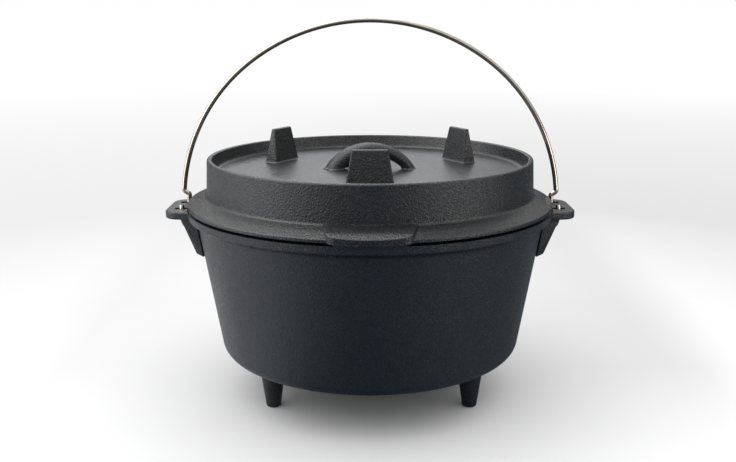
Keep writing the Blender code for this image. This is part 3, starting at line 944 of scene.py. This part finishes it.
def combine(tree, operation, first, second):
    """Two values put together, by an operation such as ADD."""
    made = node(tree, "ShaderNodeMath", operation=operation)
    tree.links.new(first, made.inputs[0])
    tree.links.new(second, made.inputs[1])
    return made.outputs[0]


def split_up(tree, place):
    """The X, Y and Z of a place."""
    made = node(tree, "ShaderNodeSeparateXYZ")
    tree.links.new(place, made.inputs["Vector"])
    return made.outputs


def axis_height_and_radius(tree, place):
    """Height above the ground and distance from the oven's axis."""
    flat = node(tree, "ShaderNodeVectorMath", operation="MULTIPLY")
    flat.inputs[1].default_value = (1, 1, 0)
    tree.links.new(place, flat.inputs[0])
    length = node(tree, "ShaderNodeVectorMath", operation="LENGTH")
    tree.links.new(flat.outputs["Vector"], length.inputs[0])
    return split_up(tree, place)["Z"], length.outputs["Value"]


def spots(tree, place, centres):
    """A mask of small round spots, each given by its place and its radius."""
    mask = None
    for *centre, radius in centres:
        gap = node(tree, "ShaderNodeVectorMath", operation="DISTANCE")
        gap.inputs[1].default_value = centre
        tree.links.new(place, gap.inputs[0])
        spot = spread(tree, gap.outputs["Value"], radius * SPOT_CORE, radius, 1.0, 0.0)
        mask = combine(tree, "MAXIMUM", mask, spot) if mask else spot
    return mask


def seasoned_iron(name, dark, light, height, pebble_waves, sheen, calm=None, scuffs=(),
                  pits_with_painted_shade=()):
    """Black iron with a pebbled skin of a height in metres; calm is a mask of smooth places."""
    material = bpy.data.materials.new(name)
    material.use_nodes = True
    tree = material.node_tree
    shader = tree.nodes["Principled BSDF"]
    place = node(tree, "ShaderNodeTexCoord").outputs["Object"]
    waves = noise(tree, place, BROAD_WAVES, detail=3)
    pebbles = noise(tree, place, pebble_waves, detail=2)
    specks = noise(tree, place, SPECK_WAVES, detail=1)
    gloss = combine(tree, "ADD", spread(tree, waves, 0.3, 0.7, *sheen),
                    spread(tree, pebbles, 0.35, 0.62, 0.16, -0.05))
    gloss = combine(tree, "ADD", gloss, spread(tree, specks, 0.35, 0.65, 0.07, -0.04))
    strength = 1.0
    if calm:
        calmed = calm(tree, place)
        strength = spread(tree, calmed, 0.0, 1.0, 1.0, 0.14)
        gloss = combine(tree, "ADD", gloss, spread(tree, calmed, 0.6, 1.0, 0.0, 0.10))
    normal = raise_bump(tree, waves, WAVE_HEIGHT, 0.25)
    normal = raise_bump(tree, pebbles, height, strength, below=normal)
    normal = raise_bump(tree, specks, SPECK_HEIGHT, strength, below=normal)
    tone = mix_colours(tree, spread(tree, specks, 0.35, 0.65, 0, 1), dark, light)
    if scuffs:
        tone = mix_colours(tree, spots(tree, place, scuffs), tone, SCUFF_TONE)
    # Painted shade: each pit is painted black, as the shade in a hollow, and made rough.
    if pits_with_painted_shade:
        pit_painted_shade = spots(tree, place, pits_with_painted_shade)
        tone = mix_colours(tree, pit_painted_shade, tone, PIT_PAINTED_SHADE)
        gloss = combine(tree, "ADD", gloss, spread(tree, pit_painted_shade, 0.0, 1.0, 0.0, 0.6))
    tree.links.new(normal, shader.inputs["Normal"])
    tree.links.new(tone, shader.inputs["Base Color"])
    tree.links.new(gloss, shader.inputs["Roughness"])
    shader.inputs["Metallic"].default_value = 0.0
    shader.inputs["Specular IOR Level"].default_value = 0.5
    return material


def calm_tray(tree, place):
    """How smooth the lid is: not on the wall, a little on the flange, fully in the tray."""
    height, radius = axis_height_and_radius(tree, place)
    flange = spread(tree, height, SEAT_Z + 0.0100, SEAT_Z + 0.0120, 0.15, 0.0)
    low = spread(tree, height, TRAY_Z + 0.0004, TRAY_Z + 0.0014, 1.0, 0.0)
    inside = spread(tree, radius, tray_radius - 0.0035, tray_radius - 0.0015, 1.0, 0.0)
    return combine(tree, "ADD", flange, combine(tree, "MULTIPLY", low, inside))


# %% [markdown]
# Every mark below is a place and a radius in metres: two pairs of scuffs on the collar, four
# light crumbs on the lid's rim, and a pit on its wall and a nick at the flange's edge, whose
# black is painted shade.

# %% Dress the pot and the lid
COLLAR_SCUFFS = [
    (-0.0694, -0.1494, 0.1725, 0.0012), (-0.0682, -0.1499, 0.1722, 0.0009),
    (-0.0484, -0.1575, 0.1731, 0.0012), (-0.0470, -0.1579, 0.1733, 0.0008),
]
CRUMB_RING = 0.1455
CRUMB_Z = 0.2199
CRUMB_RADIUS = 0.0008
LID_PITS_WITH_PAINTED_SHADE = [(0.0569, -0.1356, 0.1915, 0.0011), (-0.0817, -0.1421, 0.1795, 0.0013)]

crumbs = [(CRUMB_RING * math.sin(math.radians(a)), -CRUMB_RING * math.cos(math.radians(a)),
           CRUMB_Z, CRUMB_RADIUS) for a in (18.6, 19.8, 21.5, 23.0)]
pot_iron = seasoned_iron(
    "seasoned_iron_pot", dark=(0.0020, 0.0036, 0.0052), light=(0.0190, 0.0226, 0.0258),
    height=0.00048, pebble_waves=950, sheen=(0.21, 0.29), scuffs=COLLAR_SCUFFS)
lid_iron = seasoned_iron(
    "seasoned_iron_lid", dark=(0.0010, 0.0018, 0.0026), light=(0.0130, 0.0148, 0.0164),
    height=0.00064, pebble_waves=850, sheen=(0.19, 0.25), calm=calm_tray, scuffs=crumbs,
    pits_with_painted_shade=LID_PITS_WITH_PAINTED_SHADE)
print("iron mixed for the pot and the lid:", pot_iron.name, lid_iron.name)

# %% [markdown]
# ## Drawn steel wire
#
# The bail is bright steel wire, pulled through a die and left bare. It is a full metal, so its
# colour is the colour of its reflections. Handling dulls it in patches of a centimetre or two,
# where one noise both darkens and roughens it.

# %% Mix the steel
PATCH_WAVES = 60
FRESH_STEEL = (0.47, 0.41, 0.35)
DULL_STEEL = (0.33, 0.285, 0.24)


def drawn_steel(name):
    """Bare bright wire with faint handling marks."""
    material = bpy.data.materials.new(name)
    material.use_nodes = True
    tree = material.node_tree
    shader = tree.nodes["Principled BSDF"]
    place = node(tree, "ShaderNodeTexCoord").outputs["Object"]
    patches = noise(tree, place, PATCH_WAVES, detail=3, rough=0.6)
    share = spread(tree, patches, 0.35, 0.7, 0, 1)
    tone = mix_colours(tree, share, FRESH_STEEL, DULL_STEEL)
    tree.links.new(tone, shader.inputs["Base Color"])
    tree.links.new(spread(tree, patches, 0.3, 0.7, 0.16, 0.24), shader.inputs["Roughness"])
    shader.inputs["Metallic"].default_value = 1.0
    return material


bail_steel = drawn_steel("drawn_steel_bail")
print("steel mixed for the bail:", bail_steel.name)

# %% [markdown]
# Each piece gets its finish and is hung on the body it moves with. The node of the rough model
# for that body is hidden.

# %% Give every piece its finish and its body
pot_pieces = [bowl, leg_back, leg_left, leg_right, ear, ear_left]
lid_pieces = [lid, tab, foot_front, foot_back_left, foot_back_right, handle]
for body, slot, material, pieces in (
    ("pot", "pot_iron", pot_iron, pot_pieces),
    ("lid", "lid_iron", lid_iron, lid_pieces),
    ("bail", "bail_steel", bail_steel, [bail]),
):
    for piece in pieces:
        piece.data.materials.clear()
        piece.data.materials.append(material)
        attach(piece, body)
        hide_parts(body)
print(len(pot_pieces) + len(lid_pieces) + 1, "pieces dressed")

# %% [markdown]
# ## The studio
#
# The oven stands on a pale sweep. Its soft shadow is made by a white dome overhead, the world
# itself, that is dark near the horizon. Near the oven the floor is matt and takes this shadow.
# Beside and behind the oven its colour also carries painted shade, greys from left to right and
# a slight darkening behind. Further off it glows white, dimmed by painted shade behind the oven,
# more on the right.
# Black iron shows mostly what it mirrors, so reflections see the floor in other tones than the
# camera does, by the bearing from the oven. The oven was rendered with one sector of the floor
# at a time, the strengths that add up closest to the real picture were solved for, and a few
# were then changed. The greys that the camera sees from left to right were set by the
# ratio of the real floor's brightness to a plain floor's.

# %% Lay the floor
FLOOR_MIRRORED = (
    (-180, (0.06, 0.07, 0.09)), (-120, (0.59, 0.60, 0.62)), (-90, (0.59, 0.60, 0.65)),
    (-60, (0.69, 0.75, 0.83)), (-30, (0.21, 0.24, 0.31)), (0, (0.07, 0.14, 0.22)),
    (30, (0.22, 0.28, 0.37)), (60, (0.26, 0.29, 0.33)), (90, (0.15, 0.17, 0.20)),
    (120, (0.16, 0.19, 0.21)), (180, (0.06, 0.07, 0.09)),
)
# Painted shade: greys that the camera sees on the floor from left to right, darker on the right.
FLOOR_PAINTED_SHADE_ACROSS = [(x, (grey, grey, grey)) for x, grey in (
    (-0.40, 0.95), (-0.31, 0.87), (-0.15, 0.95), (0.05, 0.95),
    (0.22, 0.82), (0.30, 0.77), (0.33, 0.79), (0.40, 0.95),
)]
FLOOR_PALE = (0.95, 0.95, 0.95)
FLOOR_BOUNCED = (0.40, 0.40, 0.40)
WHITE_FROM = 0.35
WHITE_AT = 0.90


def tone_from(tree, value, low, high, stops):
    """A tone by a value, from stops between a low and a high one."""
    ramp = node(tree, "ShaderNodeValToRGB")
    while len(ramp.color_ramp.elements) < len(stops):
        ramp.color_ramp.elements.new(0.5)
    for element, (stop, tone) in zip(ramp.color_ramp.elements, stops):
        element.position = (stop - low) / (high - low)
        element.color = (*tone, 1)
    tree.links.new(spread(tree, value, low, high, 0.0, 1.0), ramp.inputs[0])
    return ramp.outputs["Color"]


def bearing_round_oven(tree, place):
    """The bearing from the oven in degrees: 0 is the camera's side, 90 the right."""
    axes = split_up(tree, place)
    ahead = node(tree, "ShaderNodeMath", operation="MULTIPLY")
    ahead.inputs[1].default_value = -1.0
    tree.links.new(axes["Y"], ahead.inputs[0])
    bearing = combine(tree, "ARCTAN2", axes["X"], ahead.outputs[0])
    return spread(tree, bearing, -math.pi, math.pi, -180.0, 180.0)


def white_floor():
    """A pale matt floor with painted shade round the oven, turning into a white glow further
    off.
    """
    material = bpy.data.materials.new("floor_white")
    material.use_nodes = True
    tree = material.node_tree
    shader = tree.nodes["Principled BSDF"]
    shader.inputs["Roughness"].default_value = 0.9
    shader.inputs["Specular IOR Level"].default_value = 0.0
    path = node(tree, "ShaderNodeLightPath")
    place = node(tree, "ShaderNodeTexCoord").outputs["Object"]
    axes = split_up(tree, place)
    # Painted shade: behind and beside the oven the floor takes the greys from left to right; in
    # front it stays plain pale.
    painted_shade_across = tone_from(tree, axes["X"], -0.5, 0.5, FLOOR_PAINTED_SHADE_ACROSS)
    pale = mix_colours(tree, spread(tree, axes["Y"], -0.17, 0.04, 0.0, 1.0), FLOOR_PALE, painted_shade_across)
    # Painted shade: the floor that the camera sees darkens by a tenth behind the oven.
    seen = combine(tree, "MULTIPLY", pale, spread(tree, axes["Y"], -0.05, 0.25, 1.0, 0.90))
    plain = mix_colours(tree, path.outputs["Is Camera Ray"], FLOOR_BOUNCED, seen)
    mirrored = tone_from(tree, bearing_round_oven(tree, place), -180, 180, FLOOR_MIRRORED)
    tone = mix_colours(tree, path.outputs["Is Glossy Ray"], plain, mirrored)
    tree.links.new(tone, shader.inputs["Base Color"])
    _, radius = axis_height_and_radius(tree, place)
    far = combine(tree, "MULTIPLY", spread(tree, radius, WHITE_FROM, WHITE_AT, 0.0, 1.0),
                  path.outputs["Is Camera Ray"])
    # Painted shade: the white glow dims behind the oven, more on the right.
    behind = combine(tree, "MULTIPLY", spread(tree, axes["Y"], -0.1, 0.4, 0.0, 1.0),
                     spread(tree, radius, WHITE_AT, 4 * WHITE_AT, 1.0, 0.0))
    backdrop_painted_shade = combine(tree, "MULTIPLY", behind, spread(tree, axes["X"], -0.4, 0.4, 0.13, 0.21))
    glow = node(tree, "ShaderNodeEmission")
    tree.links.new(spread(tree, backdrop_painted_shade, 0.0, 1.0, 1.0, 0.0), glow.inputs["Strength"])
    mix = node(tree, "ShaderNodeMixShader")
    tree.links.new(far, mix.inputs[0])
    tree.links.new(shader.outputs[0], mix.inputs[1])
    tree.links.new(glow.outputs[0], mix.inputs[2])
    tree.links.new(mix.outputs[0], tree.nodes["Material Output"].inputs["Surface"])
    return material


only()
bpy.ops.mesh.primitive_plane_add(size=12, location=(0, 0, 0))
floor = bpy.context.object
floor.name = "floor"
floor.data.materials.append(white_floor())
print("floor laid,", round(floor.dimensions.x), "m wide")

# %% [markdown]
# The dome brightens from the horizon upwards and is somewhat stronger on the left. The camera
# itself sees plain white there.

# %% Light the dome
world = bpy.data.worlds.new("white_dome")
bpy.context.scene.world = world
world.use_nodes = True
sky = world.node_tree
background = sky.nodes["Background"]
background.inputs["Color"].default_value = (1, 1, 1, 1)
seen = node(sky, "ShaderNodeLightPath").outputs["Is Camera Ray"]
direction = node(sky, "ShaderNodeTexCoord").outputs["Generated"]
axes = split_up(sky, direction)
dome = combine(sky, "MULTIPLY", spread(sky, axes["Z"], 0.06, 0.56, 0.0, 1.40),
               spread(sky, axes["X"], -1.0, 1.0, 1.25, 0.75))
room = node(sky, "ShaderNodeMix", data_type="FLOAT")
room.inputs[3].default_value = 1.0
sky.links.new(seen, room.inputs[0])
sky.links.new(dome, room.inputs[2])
sky.links.new(room.outputs[0], background.inputs["Strength"])

# %% [markdown]
# A rough black casting only shows its form in broad, soft reflections, so large softboxes stand
# round it. They are set to be seen in reflections only, since the dome already lights the
# floor. Their places and strengths come from the same fit to the real picture as the mirrored
# floor, with smaller changes.

# %% Hang the softboxes
LAMP_REACH = 1.4
AIM_HEIGHT = 0.15


def softbox(name, azimuth, elevation, size, radiance, colour):
    """A rectangular lamp that faces the oven, with angles in degrees and a size in metres."""
    a, e = math.radians(azimuth), math.radians(elevation)
    place = (LAMP_REACH * math.sin(a) * math.cos(e), -LAMP_REACH * math.cos(a) * math.cos(e),
             AIM_HEIGHT + LAMP_REACH * math.sin(e))
    only()
    bpy.ops.object.light_add(type="AREA", location=place)
    lamp = bpy.context.object
    lamp.name = name
    lamp.data.shape = "RECTANGLE"
    lamp.data.size, lamp.data.size_y = size
    lamp.data.color = colour
    lamp.data.energy = radiance * math.pi * size[0] * size[1]
    facing = Vector((0, 0, AIM_HEIGHT)) - Vector(place)
    lamp.rotation_euler = facing.to_track_quat("-Z", "Y").to_euler()
    lamp.visible_diffuse = False
    print(name, "at", azimuth, "degrees,", elevation, "up")


for lamp_setting in (
    ("softbox_left_low", -76, 15, (1.45, 0.95), 3.3, (0.98, 0.97, 0.99)),
    ("softbox_left_high", -75, 48, (1.30, 0.80), 2.1, (1.00, 0.98, 0.97)),
    ("softbox_left_top", -90, 68, (0.80, 0.60), 2.9, (1.00, 0.94, 0.87)),
    ("softbox_right", 61, 9, (0.80, 0.52), 5.4, (1.00, 0.96, 0.94)),
    ("softbox_back", -175, 34, (0.80, 0.95), 1.5, (0.90, 0.95, 1.00)),
    ("softbox_top", -150, 74, (0.90, 1.00), 2.6, (0.86, 0.92, 1.00)),
):
    softbox(*lamp_setting)
